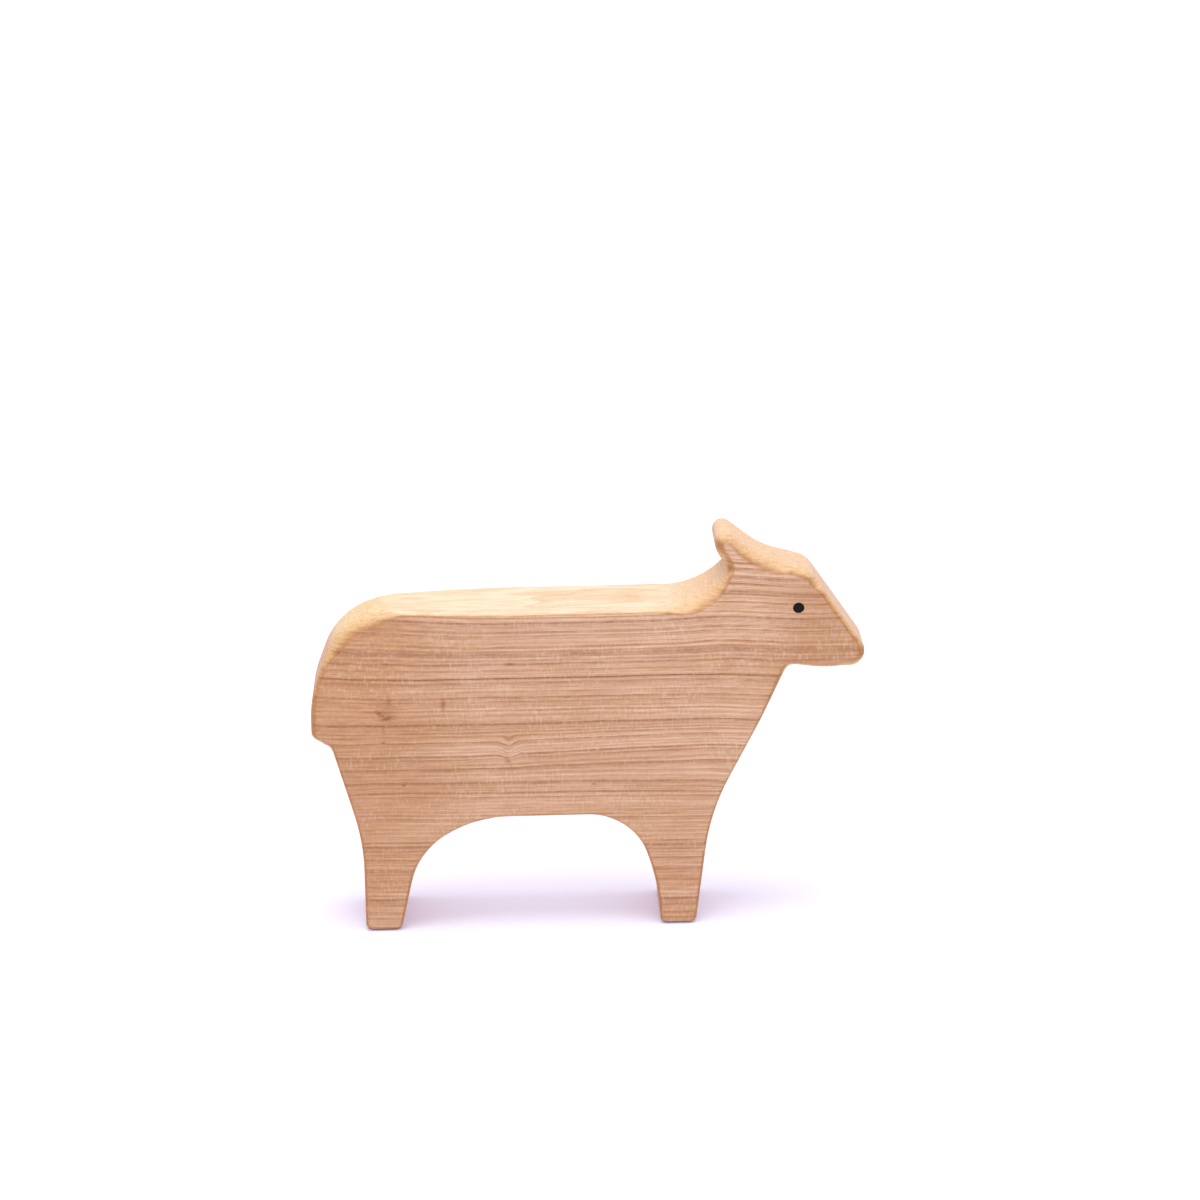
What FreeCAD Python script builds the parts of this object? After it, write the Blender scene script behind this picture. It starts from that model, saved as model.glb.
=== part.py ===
import FreeCAD, Part
import math
import os

# Sheep figurine sawn from one planed board, thinned at the head and the rump and
# rounded over by hand, with a dark wooden peg glued into a blind socket on each
# side of the head for an eye.
# Millimetres. +X is the way the sheep faces, +Z is up and the thickness of the
# board lies along Y. The origin is on the ground, under the middle of the piece.
# Setbacks are measured forward from the rump end, reaches back from the muzzle,
# heights up from the ground, and drops and rises from the line of the back.

# Board
overall_length = 120.0
board_thickness = 20.0
back_height = 72.4

# Rear leg, tail and rump
foot_length = 7.8
foot_corner_radius = 1.6
heel_setback = 10.4
hock_height = 21.0
hock_radius = 50.0
tail_root_setback = 4.4
tail_root_height = 42.4
tail_root_radius = 2.5
tail_rise = 2.3
tail_radius = 2.2
hip_rise = 8.8
hip_radius = 27.0
rump_setback = 7.2
rump_radius = 15.5

# Belly arch, whose shins flare from the feet and whose corners flare from the shins
arch_height = 25.9
rear_shin_flare = 4.1
rear_shin_height = 18.0
rear_shin_radius = 24.0
rear_arch_flare = 12.5
rear_arch_radius = 36.0
front_shin_flare = 0.2
front_shin_height = 9.7
front_shin_radius = 50.0
front_arch_flare = 6.0
front_arch_radius = 14.8

# Front leg, chest and throat
toe_reach = 37.2
knee_lead = 3.4
knee_height = 25.8
knee_radius = 50.0
throat_reach = 16.8
throat_drop = 13.9
throat_radius = 2.0

# Head and ear
jaw_reach = 10.0
jaw_drop_below_throat = 1.0
jaw_radius = 30.0
muzzle_radius = 3.3
forehead_reach = 11.9
forehead_rise = 6.9
forehead_radius = 5.0
poll_reach = 22.1
poll_rise = 10.1
poll_radius = 15.0
ear_rise_above_poll = 5.6
ear_tip_radius = 2.3
ear_length = 10.3
ear_back_rise_above_poll = 1.9
ear_back_radius = 6.0
notch_behind_poll = 7.3
notch_rise = 7.1
notch_radius = 0.8
nape_behind_poll = 15.3
nape_radius = 19.5

# Thinning of the rump, behind a slanting line from the loin to the tail root
rump_thickness = 13.2
loin_setback = 38.0
rump_taper_length = 17.0
rump_taper_radius = 56.0

# Thinning of the head, ahead of a slanting line from the withers to the breast
head_thickness = 14.4
withers_reach = 44.0
breast_reach = 24.0
breast_drop = 26.4
head_taper_length = 17.0
head_taper_radius = 26.0

# Hand rounding of the rims
light_rounding = 0.8
full_rounding = 1.5

# Eyes
eye_reach = 14.5
eye_drop_below_forehead = 7.9
eye_diameter = 2.4
eye_length = 3.4
eye_edge_bevel = 0.35
eye_recess = 0.25
glue_gap = 0.03

# Lengths below this count as nothing
hairline = 0.001

# Lines that several pieces of the outline share
rear = -overall_length / 2
front = overall_length / 2
throat_height = back_height - throat_drop
poll_height = back_height + poll_rise
ear_height = poll_height + ear_rise_above_poll


def point(x, y, z):
    """A point or direction in the part's frame."""
    return FreeCAD.Vector(x, y, z)


def save(shape, node):
    """Write one piece under its node's name."""
    shape.exportStep("parts/" + node + ".step")


def trims_for(corners):
    """How far each corner's arc reaches along its sides, with no side used up twice."""
    count = len(corners)
    trims = []
    for index, (here, radius) in enumerate(corners):
        before = corners[index - 1][0]
        after = corners[(index + 1) % count][0]
        turn = (here - before).getAngle(after - here)
        trims.append(radius * math.tan(turn / 2))
    limited = list(trims)
    for index in range(count):
        following = (index + 1) % count
        side = (corners[following][0] - corners[index][0]).Length
        share = side / max(side, trims[index] + trims[following])
        limited[index] = min(limited[index], trims[index] * share)
        limited[following] = min(limited[following], trims[following] * share)
    return limited


def corner_arc(before, here, after, trim):
    """Ends of a corner's arc, and the arc itself where the corner is rounded."""
    to_before = (before - here).normalize()
    to_after = (after - here).normalize()
    start = here + to_before * trim
    end = here + to_after * trim
    if trim < hairline:
        return start, end, None
    half_angle = to_before.getAngle(to_after) / 2
    radius = trim * math.tan(half_angle)
    to_middle = (to_before + to_after).normalize()
    middle = here + to_middle * (radius / math.sin(half_angle) - radius)
    return start, end, Part.Arc(start, middle, end).toShape()


def rounded_outline(corners):
    """Closed wire through (corner, radius) pairs, with straight sides and tangent arcs."""
    count = len(corners)
    trims = trims_for(corners)
    edges = []
    for index in range(count):
        following = (index + 1) % count
        here = corners[index][0]
        after = corners[following][0]
        beyond = corners[(following + 1) % count][0]
        start, end, arc = corner_arc(corners[index - 1][0], here, after, trims[index])
        next_start = corner_arc(here, after, beyond, trims[following])[0]
        if arc:
            edges.append(arc)
        if (next_start - end).Length > hairline:
            edges.append(Part.makeLine(end, next_start))
    return Part.Wire(edges)


def tangent_from(outside, centre, radius, side):
    """Direction of the line from a point that touches a circle on its left (1) or right (-1)."""
    to_centre = centre - outside
    swing = math.asin(radius / to_centre.Length)
    turn = FreeCAD.Rotation(point(0, 1, 0), math.degrees(side * swing))
    return turn.multVec(to_centre).normalize()


def rump_corners():
    """Rear leg, tail and rump, from the heel up to the back."""
    tail_height = tail_root_height + tail_rise
    return [
        (point(rear + heel_setback, 0, 0), foot_corner_radius),
        (point(rear + heel_setback, 0, hock_height), hock_radius),
        (point(rear + tail_root_setback, 0, tail_root_height), tail_root_radius),
        (point(rear, 0, tail_height), tail_radius),
        (point(rear, 0, tail_height + hip_rise), hip_radius),
        (point(rear + rump_setback, 0, back_height), rump_radius),
    ]


def ear_corners():
    """Nape, notch, ear and poll. The ear's tip reaches exactly its height."""
    poll = point(front - poll_reach, 0, poll_height)
    back = point(poll.x - ear_length, 0, poll_height + ear_back_rise_above_poll)
    tip_centre = point(back.x + ear_tip_radius, 0, ear_height - ear_tip_radius)
    slope = tangent_from(poll, tip_centre, ear_tip_radius, 1)
    tip = poll + slope * ((back.x - poll.x) / slope.x)
    return [
        (point(poll.x - nape_behind_poll, 0, back_height), nape_radius),
        (point(poll.x - notch_behind_poll, 0, back_height + notch_rise), notch_radius),
        (back, ear_back_radius),
        (tip, ear_tip_radius),
        (poll, poll_radius),
    ]


def face_corners():
    """Forehead, nose, muzzle, jaw and throat. The muzzle reaches exactly the overall length."""
    jaw_height = throat_height - jaw_drop_below_throat
    forehead = point(front - forehead_reach, 0, back_height + forehead_rise)
    jaw = point(front - jaw_reach, 0, jaw_height)
    muzzle_centre = point(front - muzzle_radius, 0, jaw_height + muzzle_radius)
    nose = tangent_from(forehead, muzzle_centre, muzzle_radius, -1)
    muzzle = forehead + nose * ((jaw_height - forehead.z) / nose.z)
    return [
        (forehead, forehead_radius),
        (muzzle, muzzle_radius),
        (jaw, jaw_radius),
        (point(front - throat_reach, 0, throat_height), throat_radius),
    ]


def leg_corners():
    """Chest, front leg, belly arch and the inside of the rear leg."""
    front_toe = front - toe_reach
    front_heel = front_toe - foot_length
    front_shin = front_heel - front_shin_flare
    rear_toe = rear + heel_setback + foot_length
    rear_shin = rear_toe + rear_shin_flare
    return [
        (point(front_toe + knee_lead, 0, knee_height), knee_radius),
        (point(front_toe, 0, 0), foot_corner_radius),
        (point(front_heel, 0, 0), foot_corner_radius),
        (point(front_shin, 0, front_shin_height), front_shin_radius),
        (point(front_shin - front_arch_flare, 0, arch_height), front_arch_radius),
        (point(rear_shin + rear_arch_flare, 0, arch_height), rear_arch_radius),
        (point(rear_shin, 0, rear_shin_height), rear_shin_radius),
        (point(rear_toe, 0, 0), foot_corner_radius),
    ]


def sawn_board():
    """The sheep's outline sawn through the full thickness of the board."""
    flank = Part.Face(rounded_outline(rump_corners() + ear_corners() + face_corners() + leg_corners()))
    flank.translate(point(0, -board_thickness / 2, 0))
    return flank.extrude(point(0, board_thickness, 0))


def thinning_slab(start, along, beyond, thickness, length, bend_radius):
    """Slab as thick as the board, which thins on one side of a line.

    The line passes through start and runs along one direction. In the direction beyond
    it the slab narrows over a length to its lesser thickness, with both bends rounded.
    """
    span = overall_length + ear_height
    wide = board_thickness / 2
    narrow = thickness / 2
    profile = [(-span, wide, 0), (0, wide, bend_radius), (length, narrow, bend_radius), (span, narrow, 0)]
    base = start - along * span
    corners = [(base + beyond * reach + point(0, half, 0), radius) for reach, half, radius in profile]
    corners += [(base + beyond * reach - point(0, half, 0), radius) for reach, half, radius in reversed(profile)]
    return Part.Face(rounded_outline(corners)).extrude(along * (span + span))


def rump_slab():
    """Thins the rump behind the line from the loin to the tail root."""
    loin = point(rear + loin_setback, 0, back_height)
    tail_root = point(rear + tail_root_setback, 0, tail_root_height)
    along = (tail_root - loin).normalize()
    behind = point(0, 1, 0).cross(along)
    return thinning_slab(loin, along, behind, rump_thickness, rump_taper_length, rump_taper_radius)


def head_slab():
    """Thins the head, neck and ear ahead of the line from the withers to the breast."""
    withers = point(front - withers_reach, 0, back_height)
    breast = point(front - breast_reach, 0, back_height - breast_drop)
    along = (breast - withers).normalize()
    ahead = along.cross(point(0, 1, 0))
    return thinning_slab(withers, along, ahead, head_thickness, head_taper_length, head_taper_radius)


def rim_rounding(place):
    """Radius of the rim at a place: light on back, legs and chest, full on rump, neck and head."""
    on_back = abs(place.z - back_height) < hairline
    on_chest = 0 < place.x < front - throat_reach and place.z < throat_height
    on_leg = place.z < tail_root_height
    return light_rounding if on_back or on_chest or on_leg else full_rounding


def looks_sideways(face):
    """Whether a face belongs to a flank of the board and not to its sawn wall."""
    u_low, u_high, v_low, v_high = face.ParameterRange
    normal = face.normalAt((u_low + u_high) / 2, (v_low + v_high) / 2)
    return abs(normal.y) > abs(normal.x) + abs(normal.z)


def rounded_over(board):
    """The board with both rims rounded, each stretch easing from one radius to the next."""
    rims = []
    for number, edge in enumerate(board.Edges, 1):
        sides = board.ancestorsOfType(edge, Part.Face)
        if looks_sideways(sides[0]) != looks_sideways(sides[-1]):
            start, end = edge.Vertexes[0].Point, edge.Vertexes[-1].Point
            rims.append((number, rim_rounding(start), rim_rounding(end)))
    bench = FreeCAD.newDocument("bench")
    blank = bench.addObject("Part::Feature", "blank")
    blank.Shape = board
    rounding = bench.addObject("Part::Fillet", "rounding")
    rounding.Base = blank
    rounding.Edges = rims
    bench.recompute()
    rounded = rounding.Shape.copy()
    FreeCAD.closeDocument(bench.Name)
    return rounded


def eye_foot(board):
    """Middle of the left socket's floor, as deep below the flank as the peg and its recess."""
    eye = point(front - eye_reach, 0, back_height + forehead_rise - eye_drop_below_forehead)
    probe = Part.makeLine(eye, eye + point(0, board_thickness, 0))
    flank = board.common(probe).BoundBox.YMax
    return point(eye.x, flank - eye_recess - eye_length, eye.z)


def eye_peg(foot):
    """Left eye, a short dowel with a bevelled face, which stays a little below the flank."""
    dowel = Part.makeCylinder(eye_diameter / 2, eye_length, foot, point(0, 1, 0))
    face_rim = [edge for edge in dowel.Edges if edge.CenterOfMass.y > foot.y + eye_length - hairline]
    return dowel.makeChamfer(eye_edge_bevel, face_rim)


def eye_socket(foot):
    """What the drill takes away on the left side, down to the foot of the peg."""
    return Part.makeCylinder(eye_diameter / 2 + glue_gap, board_thickness, foot, point(0, 1, 0))


def to_right_side(shape):
    """The same piece on the right side of the sheep."""
    return shape.mirror(point(0, 0, 0), point(0, 1, 0))


os.makedirs("parts", exist_ok=True)

blank = rounded_over(sawn_board().common(rump_slab()).common(head_slab()))
foot = eye_foot(blank)
socket = eye_socket(foot)
left_eye = eye_peg(foot)

save(blank.cut(socket).cut(to_right_side(socket)), "body")
save(left_eye, "left_eye")
save(to_right_side(left_eye), "right_eye")
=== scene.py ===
import logging
import math
from dataclasses import dataclass, field
from enum import Enum

import bmesh
import bpy
from mathutils import Matrix, Vector, noise
from mathutils.bvhtree import BVHTree


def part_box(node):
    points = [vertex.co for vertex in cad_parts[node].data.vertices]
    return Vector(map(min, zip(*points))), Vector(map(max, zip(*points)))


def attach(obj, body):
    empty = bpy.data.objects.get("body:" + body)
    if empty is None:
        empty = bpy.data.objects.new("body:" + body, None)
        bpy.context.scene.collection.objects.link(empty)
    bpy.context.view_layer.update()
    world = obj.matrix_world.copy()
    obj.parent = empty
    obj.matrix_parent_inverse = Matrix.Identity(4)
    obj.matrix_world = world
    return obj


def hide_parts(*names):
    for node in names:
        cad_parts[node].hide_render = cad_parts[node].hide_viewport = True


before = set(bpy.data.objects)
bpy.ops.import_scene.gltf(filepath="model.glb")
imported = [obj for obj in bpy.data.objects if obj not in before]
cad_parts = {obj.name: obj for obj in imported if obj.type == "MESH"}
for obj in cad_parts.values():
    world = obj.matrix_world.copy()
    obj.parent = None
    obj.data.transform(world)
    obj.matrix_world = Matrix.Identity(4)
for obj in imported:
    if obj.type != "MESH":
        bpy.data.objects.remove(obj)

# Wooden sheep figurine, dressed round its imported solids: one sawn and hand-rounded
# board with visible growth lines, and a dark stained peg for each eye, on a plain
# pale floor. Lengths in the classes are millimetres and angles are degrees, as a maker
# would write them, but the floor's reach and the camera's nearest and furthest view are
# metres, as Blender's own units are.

MM = 0.001
BODY_NODE = "body"
NOISE_MIDDLE = 0.5

Socket = bpy.types.NodeSocket
Feed = Socket | float | tuple[float, ...]
Colour = tuple[float, float, float]

log = logging.getLogger("sheep")


class Side(Enum):
    """Which side of the sheep a piece is on, seen from behind it."""

    LEFT = 1
    RIGHT = -1


class Sum(Enum):
    """Sums that a finish is mixed with."""

    ADD = "ADD"
    TAKE = "SUBTRACT"
    TIMES = "MULTIPLY"
    OVER = "DIVIDE"
    POWER = "POWER"
    HIGHEST = "MAXIMUM"
    FRACTION = "FRACT"
    WHOLE = "FLOOR"


class Blend(Enum):
    """Ways of laying one colour over another."""

    COVER = "MIX"
    DARKEN = "MULTIPLY"


@dataclass(frozen=True)
class Grain:
    """A noise: the rough length of one blotch along, across and up, and its finer levels."""

    along: float
    across: float
    up: float
    detail: float = 2.0
    roughness: float = 0.5


@dataclass(frozen=True)
class Span:
    """A range, what its two ends are mapped to, and whether that eases in and out."""

    low: float
    high: float
    start: float = 0.0
    end: float = 1.0
    eased: bool = False


class Mix:
    """The node tree of a finish or of the sky, with short calls for its sums and noises."""

    def __init__(self, owner: bpy.types.Material | bpy.types.World) -> None:
        """Start with nothing.

        Args:
            owner: The material or world that is mixed.
        """
        self.owner = owner
        self.owner.use_nodes = True
        self.tree = self.owner.node_tree
        self.tree.nodes.clear()

    def node(self, kind: str, **settings: object) -> bpy.types.Node:
        """Add a node.

        Args:
            kind: The node's type without its ShaderNode prefix.
            settings: Properties to set on it.

        Returns:
            The new node.
        """
        made = self.tree.nodes.new("ShaderNode" + kind)
        for name, value in settings.items():
            setattr(made, name, value)
        return made

    def feed(self, socket: Socket, value: Feed) -> None:
        """Link a socket to another, or set it to a number or colour.

        Args:
            socket: The input.
            value: An output to link, or what to set.
        """
        if isinstance(value, bpy.types.NodeSocket):
            self.tree.links.new(value, socket)
        elif isinstance(value, tuple) and len(value) == 3 and len(socket.default_value) == 4:
            socket.default_value = (*value, 1.0)
        else:
            socket.default_value = value

    def sum(self, operation: Sum, first: Feed, second: Feed = 0.0, kind: str = "Math") -> Socket:
        """Work out a sum of two numbers or two vectors.

        Args:
            operation: What to do with them.
            first: The first one.
            second: The second one, where the sum has one.
            kind: The node that works it out.

        Returns:
            The result.
        """
        made = self.node(kind, operation=operation.value)
        self.feed(made.inputs[0], first)
        self.feed(made.inputs[1], second)
        return made.outputs[0]

    def total(self, first: Feed, *others: Feed) -> Feed:
        """Add numbers up."""
        for other in others:
            first = self.sum(Sum.ADD, first, other)
        return first

    def product(self, first: Feed, *others: Feed) -> Feed:
        """Multiply numbers together."""
        for other in others:
            first = self.sum(Sum.TIMES, first, other)
        return first

    def ranged(self, value: Feed, span: Span) -> Socket:
        """Map a number from one range to another, held at both ends.

        Args:
            value: The number.
            span: The range, and what it is mapped to.

        Returns:
            The mapped number.
        """
        made = self.node("MapRange", interpolation_type="SMOOTHSTEP" if span.eased else "LINEAR", clamp=True)
        self.feed(made.inputs["Value"], value)
        ends = {"From Min": span.low, "From Max": span.high, "To Min": span.start, "To Max": span.end}
        for name, end in ends.items():
            self.feed(made.inputs[name], end)
        return made.outputs["Result"]

    def parts(self, vector: Socket) -> tuple[Socket, Socket, Socket]:
        """Take a vector's three numbers apart."""
        made = self.node("SeparateXYZ")
        self.feed(made.inputs[0], vector)
        return tuple(made.outputs)

    def vector(self, along: Feed, across: Feed, up: Feed) -> Socket:
        """Put three numbers together as a vector."""
        made = self.node("CombineXYZ")
        for socket, value in zip(made.inputs, (along, across, up)):
            self.feed(socket, value)
        return made.outputs[0]

    def moved(self, operation: Sum, vector: Feed, by: Feed) -> Socket:
        """Work out a sum of two vectors."""
        return self.sum(operation, vector, by, "VectorMath")

    def away(self, offset: Socket) -> Socket:
        """How long a vector is."""
        made = self.node("VectorMath", operation="LENGTH")
        self.feed(made.inputs[0], offset)
        return made.outputs["Value"]

    def turned(self, vector: Socket, degrees: float) -> Socket:
        """Turn a vector about the line across the board."""
        made = self.node("VectorRotate", rotation_type="Y_AXIS")
        self.feed(made.inputs["Vector"], vector)
        self.feed(made.inputs["Angle"], math.radians(degrees))
        return made.outputs["Vector"]

    def place(self) -> Socket:
        """Places on the piece, in millimetres."""
        made = self.node("VectorMath", operation="SCALE")
        self.feed(made.inputs[0], self.node("TexCoord").outputs["Object"])
        self.feed(made.inputs["Scale"], 1.0 / MM)
        return made.outputs["Vector"]

    def grain(self, place: Socket, grain: Grain) -> Socket:
        """Noise stretched to a length along each axis.

        Args:
            place: Where on the piece, in millimetres.
            grain: The noise's lengths and levels.

        Returns:
            A number about 0.5.
        """
        made = self.node("TexNoise", noise_dimensions="3D")
        stretched = self.moved(Sum.OVER, place, (grain.along, grain.across, grain.up))
        self.feed(made.inputs["Vector"], stretched)
        self.feed(made.inputs["Scale"], 1.0)
        self.feed(made.inputs["Detail"], grain.detail)
        self.feed(made.inputs["Roughness"], grain.roughness)
        return made.outputs["Fac"]

    def looked_at(self) -> Socket:
        """Whether the camera sees this, also in a reflection or through glass."""
        path = self.node("LightPath")
        seen = path.outputs["Is Camera Ray"]
        for name in ("Is Glossy Ray", "Is Transmission Ray"):
            seen = self.sum(Sum.HIGHEST, seen, path.outputs[name])
        return seen

    def plain(self, kind: str, colour: Colour) -> Socket:
        """Add a shader of one colour."""
        made = self.node(kind)
        self.feed(made.inputs["Color"], colour)
        return made.outputs[0]

    def laid(self, share: Feed, under: Feed, over: Feed, blend: Blend = Blend.COVER) -> Socket:
        """Lay one colour over another.

        Args:
            share: How much of the upper colour shows.
            under: The lower colour.
            over: The upper colour.
            blend: How they mix.

        Returns:
            The mixed colour.
        """
        made = self.node("Mix", data_type="RGBA", blend_type=blend.value, clamp_factor=True)
        self.feed(made.inputs[0], share)
        self.feed(made.inputs[6], under)
        self.feed(made.inputs[7], over)
        return made.outputs[2]

    def finish(self, colour: Feed, roughness: Feed, height: Feed, depth: float,
               sheen_ior: float = 1.45) -> None:
        """Close the tree with a surface.

        Args:
            colour: The surface's colour.
            roughness: How dull it is.
            height: Height of its fine relief, from 0 to 1.
            depth: Depth of that relief in millimetres.
            sheen_ior: Index of refraction of the oil on it.
        """
        relief = self.node("Bump")
        relief.inputs["Strength"].default_value = 1.0
        relief.inputs["Distance"].default_value = depth * MM
        self.feed(relief.inputs["Height"], height)
        shader = self.node("BsdfPrincipled")
        shader.inputs["IOR"].default_value = sheen_ior
        self.feed(shader.inputs["Base Color"], colour)
        self.feed(shader.inputs["Roughness"], roughness)
        self.feed(shader.inputs["Normal"], relief.outputs["Normal"])
        output = self.node("OutputMaterial")
        self.feed(output.inputs["Surface"], shader.outputs["BSDF"])


@dataclass(frozen=True)
class GrowthLine:
    """One dark growth line of the board, at its height under the middle of the back."""

    height: float
    thickness: float
    darkness: float
    broken: float = 0.3


@dataclass(frozen=True)
class Mark:
    """A pin knot, fleck or smudge in the wood: its middle, half sizes and lean in degrees."""

    middle: tuple[float, float, float]
    half_sizes: tuple[float, float, float]
    darkness: float
    lean: float = 0.0


@dataclass(frozen=True)
class Growth:
    """How the growth lines run through the board, from its place in the tree and its knots."""

    slope: Span = Span(36.0, 66.0, -0.014, 0.0)
    head_dip: Span = Span(24.0, 48.0, 0.0, 1.8, True)
    tree_radius: float = 85.0
    flank_reach: float = 10.0
    slow_wander: Grain = Grain(38.0, 16.0, 14.0, 1.0)
    slow_reach: float = 1.1
    quick_wander: Grain = Grain(9.0, 5.0, 3.0)
    quick_reach: float = 0.2475
    curl: tuple[float, float, float] = (-17.4, -10.0, 41.9)
    curl_reach: tuple[float, float, float] = (2.9, 8.0, 4.4)
    curl_push: Span = Span(0.0, 1.0, 1.15, 0.0, True)
    curl_grain: Grain = Grain(1.6, 6.0, 2.2, 1.0)
    curl_turn: Span = Span(0.30, 0.70, 0.65, 1.35)
    chest_below: Span = Span(32.0, 41.0, eased=True)
    chest_above: Span = Span(41.0, 52.0, 1.0, 0.0, True)
    chest_climb: Span = Span(-20.0, 44.0, 0.0, 2.8)

    def depth(self, mix: "BoardMix") -> Feed:
        """Depth into the tree, in millimetres, level with the height on a flank.

        Args:
            mix: The finish being mixed.

        Returns:
            The depth.
        """
        slope = mix.product(mix.along, mix.ranged(mix.up, self.slope))
        bow = mix.sum(Sum.TAKE, mix.product(mix.across, mix.across), self.flank_reach ** 2)
        level = mix.total(
            mix.sum(Sum.TAKE, mix.up, slope),
            mix.ranged(mix.along, self.head_dip),
            mix.sum(Sum.OVER, bow, 2.0 * self.tree_radius),
            mix.product(mix.swing(self.slow_wander), self.slow_reach),
            mix.product(mix.swing(self.quick_wander), self.quick_reach),
        )
        return mix.total(mix.sum(Sum.TAKE, level, self._climb(mix)), self._push(mix))

    def _climb(self, mix: "BoardMix") -> Feed:
        """How far the lines climb towards the chest, halfway up the flank."""
        below, above = (mix.ranged(mix.up, span) for span in (self.chest_below, self.chest_above))
        return mix.product(below, above, mix.ranged(mix.along, self.chest_climb))

    def _push(self, mix: "BoardMix") -> Feed:
        """How far they are pushed up where they curl round a hidden knot."""
        off = mix.moved(Sum.OVER, mix.moved(Sum.TAKE, mix.here, self.curl), self.curl_reach)
        near = mix.ranged(mix.away(off), self.curl_push)
        return mix.product(near, mix.blotches(self.curl_grain, self.curl_turn))


class BoardMix(Mix):
    """A mix that knows each place on the board, in millimetres, and how the surface lies there."""

    def __init__(self, name: str, growth: Growth, facing: Span, upward: Span) -> None:
        """Start the finish, and work out how deep in the tree and how sideways and skyward a place is.

        Args:
            name: The material's name.
            growth: How the growth lines run.
            facing: From which way it faces, squared, to how far it counts as a flank.
            upward: From which way it faces to how far it counts as the top.
        """
        super().__init__(bpy.data.materials.new(name))
        self.here = self.place()
        self.along, self.across, self.up = self.parts(self.here)
        self.forward, aside, self.skyward = self.parts(self.node("TexCoord").outputs["Normal"])
        self.sideways = self.product(aside, aside)
        self.facing = self.ranged(self.sideways, facing)
        self.upward = self.ranged(self.skyward, upward)
        self.depth = growth.depth(self)

    def blotches(self, grain: Grain, span: Span) -> Feed:
        """Noise at each place, mapped to a range."""
        return self.ranged(self.grain(self.here, grain), span)

    def swing(self, grain: Grain) -> Feed:
        """Noise at each place, swinging about nothing."""
        return self.sum(Sum.TAKE, self.grain(self.here, grain), NOISE_MIDDLE)

    def layers(self, grain: Grain) -> Feed:
        """Noise that follows the growth."""
        return self.grain(self.vector(0.0, 0.0, self.depth), grain)


@dataclass(frozen=True)
class Rings:
    """Fine growth rings, each darkening towards its outer edge, some stronger than others."""

    spacing: float = 1.05
    drift_length: float = 3.1
    drift: float = 1.4
    darkening: Span = Span(0.25, 0.88, eased=True)
    outer_edge: Span = Span(0.88, 1.0, 1.0, 0.0)
    strength: Span = Span(0.0, 1.0, 0.25, 1.0)

    def share(self, mix: Mix, depth: Feed) -> Feed:
        """How much of the ring colour shows.

        Args:
            mix: The finish being mixed.
            depth: Depth into the tree.

        Returns:
            The share.
        """
        uneven = mix.node("TexNoise", noise_dimensions="1D")
        mix.feed(uneven.inputs["W"], mix.sum(Sum.OVER, depth, self.drift_length))
        mix.feed(uneven.inputs["Scale"], 1.0)
        drift = mix.product(uneven.outputs["Fac"], self.drift)
        count = mix.total(mix.sum(Sum.OVER, depth, self.spacing), drift)
        through = mix.sum(Sum.FRACTION, count)
        late = mix.product(mix.ranged(through, self.darkening), mix.ranged(through, self.outer_edge))
        chance = mix.node("TexWhiteNoise", noise_dimensions="1D")
        mix.feed(chance.inputs["W"], mix.sum(Sum.WHOLE, count))
        return mix.product(late, mix.ranged(chance.outputs["Value"], self.strength))


@dataclass(frozen=True)
class DarkLines:
    """The few strong growth lines, each sharp above and fading below."""

    core: float = 0.75
    shade: float = 0.32
    shade_reach: float = 5.0
    fall_reach: float = 0.6
    dash_grain: Grain = Grain(6.0, 5.0, 1.6, 3.0, 0.6)
    dashes: Span = Span(0.36, 0.58, eased=True)
    bead_grain: Grain = Grain(0.9, 2.0, 0.5, 2.0, 0.6)
    beads: Span = Span(0.34, 0.60, 0.72, 1.12)
    lines: tuple[GrowthLine, ...] = (
        GrowthLine(6.7, 0.45, 0.60),
        GrowthLine(13.2, 0.35, 0.35),
        GrowthLine(19.0, 0.50, 0.65),
        GrowthLine(25.6, 0.35, 0.35),
        GrowthLine(31.5, 0.40, 0.55),
        GrowthLine(33.9, 0.40, 0.65),
        GrowthLine(37.1, 0.40, 0.60),
        GrowthLine(40.1, 0.50, 0.65),
        GrowthLine(43.3, 0.35, 0.60),
        GrowthLine(47.5, 0.50, 0.75, 0.15),
        GrowthLine(53.6, 0.35, 0.55, 0.6),
        GrowthLine(57.9, 0.45, 0.80, 0.15),
        GrowthLine(61.3, 0.40, 0.45, 0.8),
        GrowthLine(63.5, 1.00, 0.60, 0.35),
        GrowthLine(67.6, 0.40, 0.50, 0.5),
        GrowthLine(70.4, 0.50, 0.70),
        GrowthLine(76.0, 0.45, 0.65),
        GrowthLine(79.4, 0.40, 0.60),
        GrowthLine(82.5, 0.40, 0.60),
    )

    def share(self, mix: BoardMix) -> Feed:
        """How much of the line colour shows.

        Args:
            mix: The finish being mixed.

        Returns:
            The share.
        """
        dashes = mix.blotches(self.dash_grain, self.dashes)
        strongest: Feed = 0.0
        for line in self.lines:
            at, wide = line.height, line.thickness
            core = mix.ranged(mix.depth, Span(at - wide, at, 0.0, self.core, True))
            shade = mix.ranged(mix.depth, Span(at - wide * self.shade_reach, at, 0.0, self.shade))
            fall = mix.ranged(mix.depth, Span(at, at + wide * self.fall_reach, line.darkness, 0.0))
            kept = mix.ranged(dashes, Span(0.0, 1.0, 1.0 - line.broken, 1.0))
            shown = mix.product(mix.total(core, shade), fall, kept)
            strongest = mix.sum(Sum.HIGHEST, strongest, shown)
        beads = mix.blotches(self.bead_grain, self.beads)
        return mix.product(strongest, beads)


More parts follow.
